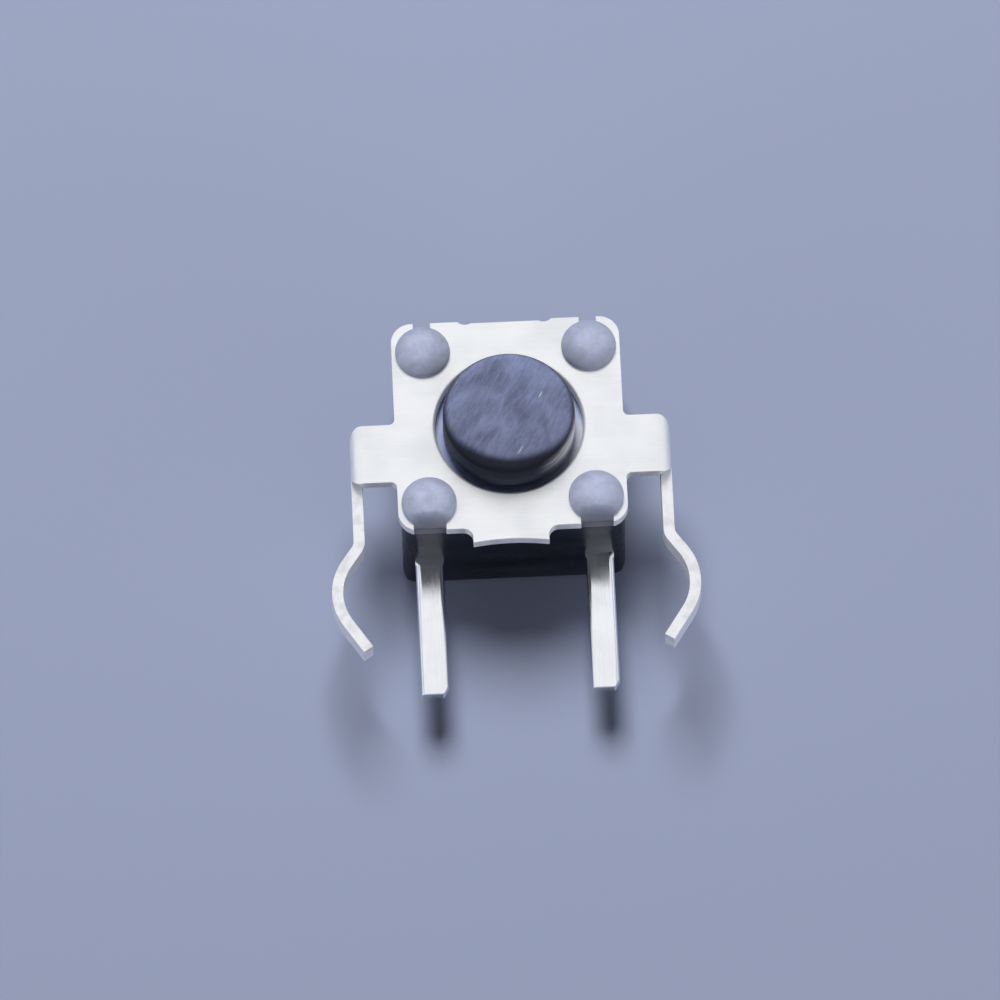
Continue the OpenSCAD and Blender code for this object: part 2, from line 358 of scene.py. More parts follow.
class Nodes:
    """A node tree with short calls to build it."""

    def add(self, kind, **settings):
        node = self.tree.nodes.new(kind)
        for key, value in settings.items():
            setattr(node, key, value)
        return node

    def join(self, source, target):
        """Links two sockets, or gives the target a plain value."""
        if isinstance(source, (int, float, tuple)):
            target.default_value = source
        else:
            self.tree.links.new(source, target)

    def feed(self, node, **inputs):
        """Joins a node's inputs, named with _ for a space."""
        for key, value in inputs.items():
            self.join(value, node.inputs[key.replace("_", " ")])
        return node

    def calculated(self, kind, operation, values):
        node = self.add(kind, operation=operation)
        for value, target in zip(values, node.inputs):
            self.join(value, target)
        return node.outputs

    def math(self, operation, *values):
        return self.calculated("ShaderNodeMath", operation, values)[0]

    def axes(self, vector):
        """A vector's X, Y and Z."""
        return self.feed(self.add("ShaderNodeSeparateXYZ"), Vector=vector).outputs

    def times(self, first, *others):
        """The product of its values."""
        for value in others:
            first = self.math("MULTIPLY", first, value)
        return first


# ---- Materials ----

def shade(tone, share):
    """A colour made darker or lighter."""
    return tuple(min(1.0, c * share) for c in tone[:3]) + (1,)


class Shader(Nodes):
    """The node tree of a material or of the world."""

    def __init__(self, name, world=False):
        self.made = (bpy.data.worlds if world else bpy.data.materials).new(name)
        self.made.use_nodes = True
        self.tree = self.made.node_tree
        self.tree.nodes.clear()
        output = self.add("ShaderNodeOutputWorld" if world else "ShaderNodeOutputMaterial")
        self.surface = self.add("ShaderNodeBackground" if world else "ShaderNodeBsdfPrincipled")
        self.join(self.surface.outputs[0], output.inputs["Surface"])
        self.place = self.add("ShaderNodeTexCoord").outputs["Object"]

    def mapped(self, scale=(1, 1, 1), turn=(0, 0, 0), shift=(0, 0, 0)):
        """Object coordinates in millimetres, shifted, then turned, then stretched. A stretch of 0
        flattens them."""
        return self.feed(self.add("ShaderNodeMapping", vector_type="TEXTURE"), Vector=self.place,
                         Location=tuple(s * MM for s in shift),
                         Rotation=tuple(math.radians(a) for a in turn),
                         Scale=tuple(MM / max(s, 1e-6) for s in scale)).outputs[0]

    def noise(self, vector, scale, detail, rough, distortion=0.0):
        return self.feed(self.add("ShaderNodeTexNoise"), Vector=vector, Scale=scale, Detail=detail,
                         Roughness=rough, Distortion=distortion).outputs["Fac"]

    def ranged(self, value, low, high, to_low=0.0, to_high=1.0, smooth=True):
        """Carries a value from one range over to another, and keeps it in there."""
        kind = "SMOOTHSTEP" if smooth else "LINEAR"
        node = self.feed(self.add("ShaderNodeMapRange", interpolation_type=kind), Value=value,
                         From_Min=low, From_Max=high, To_Min=to_low, To_Max=to_high)
        return node.outputs["Result"]

    def vector(self, operation, *values):
        outputs = self.calculated("ShaderNodeVectorMath", operation, values)
        return outputs["Vector" if operation == "NORMALIZE" else "Value"]

    def mix(self, factor, a, b, blend="MIX"):
        node = self.add("ShaderNodeMix", data_type="RGBA", blend_type=blend)
        for value, target in ((factor, 0), (a, 6), (b, 7)):
            self.join(value, node.inputs[target])
        return node.outputs[2]

    def bump(self, height, distance, strength, normal=None):
        """A bump of the given depth in millimetres."""
        node = self.feed(self.add("ShaderNodeBump"), Strength=strength, Distance=distance * MM,
                         Height=height)
        if normal is not None:
            self.join(normal, node.inputs["Normal"])
        return node.outputs["Normal"]

    def set(self, **inputs):
        """Sets or links the shader's sockets, named with _ for a space."""
        self.feed(self.surface, **inputs)


def tinned_sheet(name, tin):
    """Bright tin plating over rolled sheet: fine rolling grain, faint clouds and small dents."""
    s = Shader(name)
    grain = s.noise(s.mapped((0.6, 26, 26)), 1.0, 4, 0.6)
    clouds = s.noise(s.mapped(), 0.9, 3, 0.5)
    specks = s.noise(s.mapped(shift=(3.1, 1.7, 0.4)), 7.0, 2, 0.5)
    dull = s.math("ADD", s.ranged(clouds, 0.35, 0.7, 0, 0.6), s.ranged(grain, 0.4, 0.7, 0, 0.4))
    s.set(Base_Color=s.mix(dull, tuple(tin), shade(tin, 0.94)),
          Metallic=0.6, Roughness=s.ranged(dull, 0, 1, 0.42, 0.54),
          Normal=s.bump(grain, 0.0008, 0.4, s.bump(s.ranged(specks, 0.62, 0.75), 0.0015, 0.5)))
    return s.made


def sheared_edge(name, tin):
    """The sides that the press tool leaves: short upright score lines, duller than the faces."""
    s = Shader(name)
    score = s.noise(s.mapped((22, 22, 1.6)), 1.0, 3, 0.6)
    tear = s.noise(s.mapped((3, 3, 5)), 1.0, 2, 0.5)
    s.set(Base_Color=s.mix(s.ranged(tear, 0.42, 0.68), shade(tin, 0.98), shade(tin, 0.84)),
          Metallic=0.6, Roughness=s.ranged(score, 0.3, 0.7, 0.38, 0.52),
          Normal=s.bump(score, 0.004, 0.6))
    return s.made


def gloss_plastic(name, plastic):
    """Black plastic, smooth from the mould, with faint grain and flow."""
    s = Shader(name)
    grain = s.noise(s.mapped(), 22.0, 3, 0.55)
    flow = s.noise(s.mapped((0.5, 0.5, 1.6)), 1.3, 3, 0.5, 0.6)
    s.set(Base_Color=s.mix(s.ranged(flow, 0.35, 0.7), shade(plastic, 1.0), shade(plastic, 1.5)),
          Roughness=s.ranged(flow, 0.3, 0.75, 0.26, 0.38), Specular_IOR_Level=0.24,
          Specular_Tint=(0.78, 0.86, 1.0, 1),
          Normal=s.bump(grain, 0.0016, 0.5))
    return s.made


def hazed_plastic_with_painted_light(name, plastic, haze, pitch):
    """The stakes' plastic where the hot tool pressed it: a pale tone on top of a head that is partly its
    heat haze and mostly a painted sheen, with painted shade towards its rim and low down, and painted
    shade where it ran out of a lower notch."""
    s = Shader(name)
    half = pitch / 2
    across, along, height = s.axes(s.mapped())
    out_x, out_y = (s.math("SUBTRACT", s.math("ABSOLUTE", v), half) for v in (across, along))
    from_middle = s.math("SQRT", s.math("ADD", s.times(out_x, out_x), s.times(out_y, out_y)))
    # Painted shade: where a lower head sinks and its plastic ran out of the notch, the painted sheen is
    # taken out.
    below = s.math("SUBTRACT", s.times(along, -1.0), half)
    run = s.times(s.ranged(below, 0.36, 0.74), s.ranged(s.math("ABSOLUTE", out_x), 0.66, 0.36))
    blot = s.noise(s.mapped(), 3.0, 4, 0.6, 0.4)
    fine = s.noise(s.mapped(shift=(1, 2, 3)), 26.0, 3, 0.6)
    # Painted shade: the low parts, a head's rim and the plastic in the notches, get less of the painted
    # sheen.
    level = s.ranged(height, 3.32, 3.46, 0.25, 1.0)
    # Painted shade: a head darkens towards its rim; the blots over it are the plastic's own.
    pale = s.times(s.ranged(blot, 0.25, 0.7, 0.74, 1.0),
                   s.ranged(from_middle, 0.16, 0.76, 1.0, 0.60))
    # How much of the painted sheen a place gets.
    painted_sheen_share = s.times(level, pale, s.math("SUBTRACT", 1.0, s.times(run, 0.95)))
    # The shaded end of the painted sheen: the black plastic with a little of the pale tone.
    low = tuple(0.11 * h + p for h, p in zip(haze[:3], plastic[:3])) + (1,)
    s.set(Base_Color=s.mix(painted_sheen_share, low, tuple(haze)),
          Roughness=s.ranged(fine, 0.3, 0.7, 0.40, 0.54), Coat_Weight=0.25, Coat_Roughness=0.25,
          Normal=s.bump(fine, 0.003, 0.5, s.bump(blot, 0.02, 0.4)))
    return s.made


# Light scuffs on the button's top: middle, length and width in millimetres, slant and strength.
SCUFFS = (((0.85, 0.41), 0.27, 0.055, 61, 0.90), ((1.08, -0.17), 0.27, 0.030, 65, 0.35),
          ((0.26, -1.17), 0.34, 0.046, 58, 0.75), ((-1.35, 0.86), 0.30, 0.040, 60, 0.30),
          ((-0.56, 0.68), 0.30, 0.030, 62, 0.16), ((0.21, 1.25), 0.16, 0.050, 60, 0.18))
SCUFF_TONE = (0.62, 0.64, 0.72, 1)
# The button's other tones: a painted highlight on its side, and painted light on its plastic deep in the
# cover's hole, where shade falls.
PAINTED_HIGHLIGHT_TONE = (0.72, 0.72, 0.78, 1)
PAINTED_GAP_LIGHT_TONE = (0.39, 0.45, 0.64, 1)
# Which way the painted shade on the front of its top and the painted highlight on its side look, in
# degrees round the axis.
FRONT_TURN = -97
PAINTED_HIGHLIGHT_TURN = -20


def scuff_marks(s, top_z):
    """How strongly a scuff shows on the button's top."""
    marks = 0.0
    for (x, y), long, wide, slant, strength in SCUFFS:
        spot = s.mapped((2 / long, 2 / wide, 1), (0, 0, slant), (x, y, top_z))
        mark = s.ranged(s.vector("LENGTH", spot), 0.25, 1.1, strength, 0.0)
        marks = s.math("MAXIMUM", marks, mark)
    return marks


def button_plastic(name, top, side, top_z, edge):
    """The button's plastic: a matt, scuffed top whose tone holds a painted sheen, with painted shade
    towards its front edge, and a smoother side with a painted highlight at the right, painted reflection
    towards its foot and painted light deep in the cover's hole."""
    s = Shader(name)
    _, along, height = s.axes(s.mapped())
    out = s.mapped((1, 1, 0))
    outwards = s.vector("NORMALIZE", out)

    def facing(degrees, low, high):
        """How much a place looks the given way round the button's axis."""
        turn = math.radians(degrees)
        cosine = s.vector("DOT_PRODUCT", outwards, (math.cos(turn), math.sin(turn), 0))
        return s.ranged(cosine, low, high)

    is_top = s.ranged(height, top_z - 0.60 * edge, top_z - 0.12 * edge)
    mottle = s.noise(s.mapped((1.5, 1.0, 1), (0, 0, -30)), 1.15, 3, 0.5, 0.5)
    streak = s.noise(s.mapped((13, 2.6, 1), (0, 0, -30), (2, 5, 0)), 1.0, 4, 0.65)
    grain = s.noise(s.mapped(shift=(4, 4, 0)), 24.0, 3, 0.65)
    fine = s.math("ADD", s.times(streak, 0.32), s.times(grain, 0.18))
    tone = s.math("ADD", s.times(mottle, 0.50), fine)
    # The top's tone holds a painted sheen; its mottle, streaks and grain are the plastic's own.
    top_wear_and_painted_light = s.mix(s.ranged(tone, 0.39, 0.61, smooth=False), shade(top, 0.66), shade(top, 1.34))
    # Painted shade: the top is made darker towards its front and lighter towards its back.
    slope = s.ranged(along, -1.3, 1.3, smooth=False)
    top_wear_and_painted_light = s.mix(1.0, top_wear_and_painted_light, s.mix(slope, (0.91, 0.90, 0.89, 1), (1.09, 1.10, 1.11, 1)), "MULTIPLY")
    flecked = s.times(scuff_marks(s, top_z), s.ranged(grain, 0.35, 0.55, 0.55, 1.0))
    top_wear_and_painted_light = s.mix(flecked, top_wear_and_painted_light, SCUFF_TONE)
    # Painted shade: the top darkens over its rounded front edge, which turns away from the light.
    front = s.math("ADD", s.vector("LENGTH", out), s.times(facing(FRONT_TURN, 0.17, 1.18), 0.33))
    painted_front_shade = s.ranged(front, 1.56, 1.84)
    top_wear_and_painted_light = s.mix(s.times(painted_front_shade, 0.96), top_wear_and_painted_light, shade(side, 0.5))
    # Painted highlight: a pale, streaked patch on the side at the right, for a reflection there.
    rings = s.noise(s.mapped((1.1, 1.1, 11), shift=(0, 3, 0)), 1.0, 3, 0.6, 0.3)
    painted_highlight = s.times(s.ranged(height, top_z - 0.08, top_z - 0.38),
                     s.math("POWER", facing(PAINTED_HIGHLIGHT_TURN, 0.58, 1.04), 2.0),
                     s.ranged(rings, 0.30, 0.70, 0.35, 1.0))
    # Painted shade and reflection: the side is darker under the top's edge and lighter towards its foot,
    # near the bright cover.
    below = s.mix(s.ranged(height, top_z - 0.3, top_z - 0.9), shade(side, 0.6), shade(side, 1.7))
    hole = COVER_HIGH.z / MM
    # Painted light: the side deep in the cover's hole, where shade falls, is made pale blue.
    below = s.mix(s.ranged(height, hole, hole - 0.3), below, PAINTED_GAP_LIGHT_TONE)
    below = s.mix(painted_highlight, below, PAINTED_HIGHLIGHT_TONE)
    gloss = s.times(s.ranged(is_top, 0, 1, 0.10, 0.36, False), s.ranged(painted_front_shade, 0, 1, 1.0, 0.3))
    s.set(Base_Color=s.mix(is_top, below, top_wear_and_painted_light), Roughness=s.ranged(is_top, 0, 1, 0.32, 0.60, False),
          Specular_IOR_Level=gloss,
          Normal=s.bump(grain, 0.004, 0.6, s.bump(streak, 0.003, 0.4)))
    return s.made


def terminal_strip(name, tin):
    """Smooth bright tin on the terminals' strip, with faint drawing lines along it."""
    s = Shader(name)
    lines = s.noise(s.mapped((30, 0.7, 30)), 1.0, 4, 0.6)
    clouds = s.noise(s.mapped(shift=(2, 5, 1)), 1.4, 3, 0.5)
    dull = s.math("ADD", s.ranged(clouds, 0.35, 0.7, 0, 0.55), s.ranged(lines, 0.4, 0.7, 0, 0.45))
    s.set(Base_Color=s.mix(dull, tuple(tin), shade(tin, 0.92)),
          Metallic=1.0, Roughness=s.ranged(dull, 0, 1, 0.17, 0.27),
          Normal=s.bump(lines, 0.0008, 0.5))
    return s.made


def spring_sheet(name):
    """The snap dome's spring steel, with its rolling grain."""
    s = Shader(name)
    grain = s.noise(s.mapped((0.8, 30, 4)), 1.0, 4, 0.6)
    s.set(Base_Color=s.mix(s.ranged(grain, 0.35, 0.65), (0.56, 0.57, 0.60, 1), (0.66, 0.67, 0.70, 1)),
          Metallic=1.0, Roughness=s.ranged(grain, 0.3, 0.7, 0.22, 0.34),
          Normal=s.bump(grain, 0.001, 0.5))
    return s.made


# ---- Geometry Nodes ----

class NodeTree(Nodes):
    """A Geometry Nodes tree with named inputs, for a mesh."""

    def __init__(self, name, **inputs):
        self.tree = bpy.data.node_groups.new(name, "GeometryNodeTree")

        def socket(label, side, kind):
            return self.tree.interface.new_socket(label, in_out=side, socket_type="NodeSocket" + kind)

        socket("Geometry", "INPUT", "Geometry")
        self.ids = {key: socket(key.replace("_", " ").capitalize(), "INPUT", kind).identifier
                    for key, kind in inputs.items()}
        socket("Geometry", "OUTPUT", "Geometry")
        self.source = self.add("NodeGroupInput")
        self.drawn = self.source.outputs[0]

    def value(self, key):
        """One of the tree's named inputs."""
        return self.source.outputs[1 + list(self.ids).index(key)]

    def new(self, kind, **inputs):
        """The first output of a new node. Its inputs are named with _ for a space."""
        return self.feed(self.add("GeometryNode" + kind), **inputs).outputs[0]

    def vector(self, x=0.0, y=0.0, z=0.0):
        return self.feed(self.add("ShaderNodeCombineXYZ"), X=x, Y=y, Z=z).outputs[0]

    def end(self, geometry, material):
        """Closes the tree with Realize Instances and Set Material."""
        paint = self.add("GeometryNodeSetMaterial")
        paint.inputs["Material"].default_value = material
        self.join(self.new("RealizeInstances", Geometry=geometry), paint.inputs["Geometry"])
        self.join(paint.outputs[0], self.add("NodeGroupOutput").inputs[0])

    def run(self, mesh, **values):
        """The tree's result on a mesh, as a plain mesh."""
        drawn = new_object(self.tree.name, mesh)
        modifier = drawn.modifiers.new("nodes", "NODES")
        modifier.node_group = self.tree
        for key, value in values.items():
            modifier[self.ids[key]] = value
        return evaluated_mesh(drawn)


def polyline(points, name):
    mesh = bpy.data.meshes.new(name)
    mesh.from_pydata([tuple(p) for p in points], [(i, i + 1) for i in range(len(points) - 1)], [])
    return mesh


def turned_tree(material):
    """Turns a profile round the Z axis."""
    t = NodeTree("turned_piece", segments="Int")
    rows = t.feed(t.add("GeometryNodeAttributeDomainSize", component="MESH"), Geometry=t.drawn).outputs[0]
    grid = t.new("MeshGrid", Vertices_X=t.math("ADD", t.value("segments"), 1), Vertices_Y=rows)
    index = t.new("InputIndex")
    column = t.math("FLOOR", t.math("DIVIDE", t.math("ADD", index, 0.5), rows))
    row = t.math("SUBTRACT", index, t.times(column, rows))
    pick = t.add("GeometryNodeSampleIndex", data_type="FLOAT_VECTOR", domain="POINT")
    x, _, z = t.axes(t.feed(pick, Geometry=t.drawn, Value=t.new("InputPosition"), Index=row).outputs[0])
    turn = t.times(t.math("DIVIDE", column, t.value("segments")), math.tau)
    moved = t.new("SetPosition", Geometry=grid, Position=t.vector(
        t.times(x, t.math("COSINE", turn)), t.times(x, t.math("SINE", turn)), z))
    t.end(t.new("MergeByDistance", Geometry=moved, Distance=0.0002), material)
    return t


def turned(profile, name, material, segments):
    """A turned piece. Its profile gives distances from the axis and heights, out from the axis and
    back to it."""
    line = polyline([(r, 0, z) for r, z in profile], name)
    return turned_tree(material).run(line, segments=segments)


def leg_strip_tree(material):
    """Sweeps the flat strip of a snap leg along its path."""
    t = NodeTree("snap_leg_strip", depth="Float", top="Float", rows="Int")
    normal = t.add("GeometryNodeSetCurveNormal", mode="Z_UP")
    t.feed(normal, Curve=t.new("MeshToCurve", Mesh=t.drawn))
    line = t.new("CurvePrimitiveLine", Start=t.vector(0.0, t.times(t.value("top"), -1.0), 0.0),
                  End=t.vector(0.0, t.math("SUBTRACT", t.value("depth"), t.value("top")), 0.0))
    profile = t.new("ResampleCurve", Curve=line, Count=t.value("rows"))
    t.end(t.new("CurveToMesh", Curve=normal.outputs[0], Profile_Curve=profile), material)
    return t


def stake_tree(material):
    """Sets a head on every stake of the square, and on the lower ones the plastic that fills the
    cover's notch and ran out of it."""
    t = NodeTree("heat_stakes", pitch="Float", seat="Float", sheet="Float", fill_width="Float",
                 fill_reach="Float", run_height="Float")
    pitch, sheet, wide, reach, run_height = (
        t.value(key) for key in ("pitch", "sheet", "fill_width", "fill_reach", "run_height"))
    grid = t.new("MeshGrid", Size_X=pitch, Size_Y=pitch, Vertices_X=2, Vertices_Y=2)
    stakes = t.new("Transform", Geometry=grid, Translation=t.vector(z=t.value("seat")))
    lower = t.math("LESS_THAN", t.axes(t.new("InputPosition"))["Y"], 0.0)
    deep = t.math("ADD", sheet, t.times(run_height, 0.3))
    fill = t.new("Transform", Geometry=t.new("MeshCube", Size=t.vector(wide, reach, deep)),
                  Translation=t.vector(0.0, t.times(reach, -0.5), t.times(deep, 0.5)))
    run = t.new("Transform", Geometry=t.new("MeshUVSphere", Radius=1.0),
                 Translation=t.vector(z=sheet), Scale=t.vector(t.times(wide, 0.56), reach, run_height))
    together = t.add("GeometryNodeJoinGeometry")
    for part, chosen in ((t.drawn, True), (fill, lower), (run, lower)):
        put = t.new("InstanceOnPoints", Points=stakes, Instance=part, Selection=chosen)
        t.join(put, together.inputs[0])
    t.end(together.outputs[0], material)
    return t


# ---- Shapes ----

def ear_box(s, leg):
    """Where the ears fold, and their lower and upper ends."""
    fold_x = leg.spread + s.thickness / 2 - s.fold_radius
    return fold_x, -s.ear_drop - s.ear_height / 2, -s.ear_drop + s.ear_height / 2


def ear_ends(s, leg, x):
    """The lower and upper end of an ear at a distance x from the button axis."""
    _, low, high = ear_box(s, leg)
    over = max(0.0, x - (leg.spread + s.thickness / 2 - s.ear_corner))
    inset = s.ear_corner - math.sqrt(max(0.0, s.ear_corner ** 2 - over ** 2))
    return low + inset, high - inset


def notch_points(x, y, radius, slit, edge, side):
    """A stake's notch, open through the upper (1) or the lower (-1) edge of the plate. The upper
    one is walked from right to left and the lower one from left to right."""
    lift = math.sqrt(radius ** 2 - slit ** 2 / 4)
    swing = math.degrees(math.atan2(lift, slit / 2))
    if side > 0:
        return [(x + slit / 2, edge), *arc((x, y), radius, swing, -180 - swing, 30), (x - slit / 2, edge)]
    return [(x - slit / 2, edge), *arc((x, y), radius, 180 + swing, -swing, 30), (x + slit / 2, edge)]


def half_outline(s, leg, stake, offset):
    """The right half of the cover's flat outline, from the middle of its lower edge to the middle
    of its upper edge. offset is how far the stop tab's middle is from the button axis."""
    half = s.width / 2
    low, high = s.shift - half, s.shift + half
    hollow = arc_radius(s.tab_width / 2, s.tab_hollow)
    tab_end, tab_low = offset + s.tab_width / 2, low - s.tab_length
    path = [(x, tab_low + s.tab_hollow - hollow + math.sqrt(hollow ** 2 - (x - offset) ** 2))
            for x in steps_between(0, tab_end, 10)]
    path += arc((tab_end + s.tab_fillet, low - s.tab_fillet), s.tab_fillet, 180, 90, 8)
    r = s.corner_radius
    slit_x = stake + s.lower_slit / 2
    start = math.degrees(math.acos(max(0.0, slit_x - (half - r)) / r))
    path += notch_points(stake, -stake, s.notch / 2, s.lower_slit, low, -1)[:-1]
    path += arc((half - r, low + r), r, -start, 0, 12)
    fold_x, ear_low, ear_high = ear_box(s, leg)
    path += arc((half + s.ear_root, ear_low - s.ear_root), s.ear_root, 180, 90, 6)
    path += [(fold_x, y) for y in steps_between(ear_low, ear_high, EAR_ROWS)]
    path += arc((half + s.ear_root, ear_high + s.ear_root), s.ear_root, 270, 180, 6)
    path += arc((half - r, high - r), r, 0, 90, 12)
    path += notch_points(stake, stake, s.notch / 2, s.upper_slit, high, 1)
    relief = arc_radius(s.relief_width / 2, s.relief_depth)
    middle, deep = (s.link_width + s.relief_width) / 2, high - s.relief_depth + relief
    at_edge = math.degrees(math.acos((relief - s.relief_depth) / relief))
    at_link = math.degrees(math.acos((relief - s.relief_depth + s.link_drop) / relief))
    path += arc((middle, deep), relief, 270 + at_edge, 270 - at_link, 8)
    path += [(0, high - s.link_drop)]
    return path


def leg_outer_path(s, leg, start):
    """Points along a right leg's outer face, seen along the button axis, from its top down. start is
    the list of heights that it shares with the ear's fold."""
    out_angle, in_angle = leg.out_angle, leg.in_angle
    rise = (leg.kink_radius + leg.bow_radius) * (1 - math.cos(out_angle))
    slope = (leg.bow_out - rise) / math.sin(out_angle)
    bent = (leg.straight + (leg.kink_radius + leg.bow_radius) * math.sin(out_angle)
            + slope * math.cos(out_angle) + leg.bow_radius * math.sin(in_angle))
    last = (leg.reach - bent) / math.cos(in_angle)
    points = [(leg.spread + s.thickness / 2, y) for y in start]
    here, turn = Vector((leg.spread, BASE_LOW.y / MM - leg.straight)), 0.0

    def outer():
        side = Vector((math.cos(turn), math.sin(turn)))
        points.append(tuple(here + side * s.thickness / 2))

    outer()
    for radius, swing, straight, count in ((leg.kink_radius, out_angle, slope, 10),
                                           (leg.bow_radius, -out_angle - in_angle, last, 26)):
        for _ in range(count):
            step = swing / count
            chord = 2 * radius * math.sin(abs(step) / 2)
            turn += step / 2
            here += Vector((math.sin(turn), -math.cos(turn))) * chord
            turn += step / 2
            outer()
        here += Vector((math.sin(turn), -math.cos(turn))) * straight
        outer()
    return points


def cover_sheet(s, leg, stake, leg_material):
    """The outer surface of the folded sheet: the plate with its ears, the folds and the legs."""
    top = COVER_HIGH.z / MM
    hole = s.hole / 2
    bm = bmesh.new()
    strip = leg_strip_tree(leg_material)
    for side in (1, -1):
        outline = half_outline(s, leg, stake, -side * s.tab_offset)
        corners = []
        for x, y in outline + arc((0, 0), hole, 90, -90, 90):
            if not corners or math.dist((x, y), corners[-1]) > 0.003:
                corners.append((x, y))
        bm.faces.new([bm.verts.new((side * x, y, top)) for x, y in corners])
        fold_x = ear_box(s, leg)[0]
        lines = []
        for i in range(FOLD_STEPS + 1):
            a = math.pi / 2 * i / FOLD_STEPS
            x, z = fold_x + s.fold_radius * math.sin(a), top - s.fold_radius * (1 - math.cos(a))
            lines.append([bm.verts.new((side * x, y, z))
                          for y in steps_between(*ear_ends(s, leg, x), EAR_ROWS)])
        for one, two in zip(lines, lines[1:]):
            for j in range(EAR_ROWS):
                bm.faces.new((one[j], one[j + 1], two[j + 1], two[j]))
        start = sorted((v.co.y for v in lines[-1]), reverse=True)
        path = [(side * x, y, 0) for x, y in leg_outer_path(s, leg, start)]
        swept = strip.run(polyline(path, "leg_path"), depth=leg.depth,
                          top=top - s.fold_radius, rows=5)
        bm.from_mesh(swept)
        bpy.data.meshes.remove(swept)
    bmesh.ops.remove_doubles(bm, verts=bm.verts, dist=0.002)
    bmesh.ops.recalc_face_normals(bm, faces=bm.faces)
    plate = max(bm.faces, key=lambda f: f.calc_area())
    if plate.normal.z < 0:
        bmesh.ops.reverse_faces(bm, faces=bm.faces)
    weigh_edges(bm, lambda e: all(abs(v.co.xy.length - hole) < 0.01 for v in e.verts))
    return bm


# ---- Operators ----

class SWITCH_OT_stage(Operator):
    """Sets the pale floor, the soft light and the camera."""

    bl_idname = "switch.stage"
    bl_label = "Stage"

    def execute(self, context):
        scene = context.scene
        s = scene.switch_stage
        scene.view_settings.view_transform = "Standard"
        bm = bmesh.new()
        bmesh.ops.create_grid(bm, x_segments=1, y_segments=1, size=1.5)
        floor = new_object("floor", mesh_from(bm, "floor"))
        paint = Shader("floor_paint")
        paint.set(Base_Color=tuple(s.floor), Roughness=0.9, Specular_IOR_Level=0.1)
        floor.data.materials.append(paint.made)
        set_lamp("key", (-0.06, 0.56, 0.84), s.key_level, 0.11, 0.15)
        for name, side, level in (("low_right", 1, s.side_level), ("low_left", -1, 0.8 * s.side_level)):
            set_lamp(name, (side * 0.80, -0.58, 0.08), level, 0.26, 0.03)
        set_studio(scene, s)
        set_camera(scene)
        return {"FINISHED"}


def set_lamp(name, towards, level, wide, high):
    """A soft lamp, far off in the direction towards. level is what a white surface facing it sends
    back."""
    towards = Vector(towards).normalized()
    distance = 0.24
    lamp = bpy.data.lights.new(name, "AREA")
    lamp.shape = "ELLIPSE"
    lamp.size, lamp.size_y = wide, high
    lamp.energy = level * math.pi ** 2 * distance ** 2
    placed = new_object(name, lamp)
    placed.location = Vector((0, -0.001, 0.003)) + towards * distance
    placed.rotation_euler = towards.to_track_quat("Z", "Y").to_euler()
    placed.visible_camera = False
    placed.visible_glossy = False


def set_studio(scene, s):
    """Soft light from all round. Gloss and metal see a pale studio, brightest overhead."""
    studio = Shader("studio", world=True)
    scene.world = studio.made
    towards = studio.add("ShaderNodeTexCoord").outputs["Generated"]
    ramp = studio.add("ShaderNodeValToRGB")
    stops = ramp.color_ramp.elements
    stops[0].color = (0.42, 0.46, 0.56, 1)
    stops[1].position, stops[1].color = 0.86, (0.97, 0.98, 1.0, 1)
    for position, value in ((0.25, (0.54, 0.59, 0.69, 1)), (0.60, (0.76, 0.80, 0.87, 1))):
        stops.new(position).color = value
    studio.feed(ramp, Fac=studio.vector("DOT_PRODUCT", towards, (0.0, 0.34, 0.94)))
    across, _, upwards = studio.axes(towards)
    sides = studio.times(studio.ranged(studio.math("ABSOLUTE", across), 0.40, 0.62),
                         studio.ranged(upwards, -0.02, 0.10))
    seen = studio.mix(sides, ramp.outputs["Color"], (0.95, 0.97, 1.0, 1))
    behind = studio.vector("DOT_PRODUCT", towards, (0.0, 0.77, 0.64))
    level = studio.times(studio.ranged(behind, -0.2, 0.9, 0.2, 1.8), s.fill_level)
    soft = studio.mix(level, (0, 0, 0, 1), (0.98, 0.99, 1.03, 1))
    rays = studio.add("ShaderNodeLightPath").outputs
    lit = studio.mix(rays["Is Glossy Ray"], soft, seen)
    studio.set(Color=studio.mix(rays["Is Camera Ray"], lit, tuple(s.floor)))


def set_camera(scene):
    """A long lens, well above the terminals' side of the switch."""
    tilt, swing, roll = math.radians(25.2), math.radians(1.34), math.radians(1.22)
    right = Vector((math.cos(swing), -math.sin(swing), 0))
    up = Vector((math.sin(swing) * math.cos(tilt), math.cos(swing) * math.cos(tilt), math.sin(tilt)))
    right, up = (right * math.cos(roll) - up * math.sin(roll),
                 right * math.sin(roll) + up * math.cos(roll))
    back = right.cross(up)
    left, below = 0.2398 * MM, 1.9926 * MM
    aim = Vector((0, 0, COVER_HIGH.z)) - right * left - up * below
    away, wide = 0.30, 26.385 * MM
    camera = bpy.data.cameras.new("camera")
    camera.sensor_width = 36
    camera.lens = camera.sensor_width * away / wide
    camera.clip_start, camera.clip_end = 0.01, 5
    eye = new_object("camera", camera)
    eye.location = aim + back * away
    eye.rotation_euler = Matrix((right, up, back)).transposed().to_euler()
    scene.camera = eye


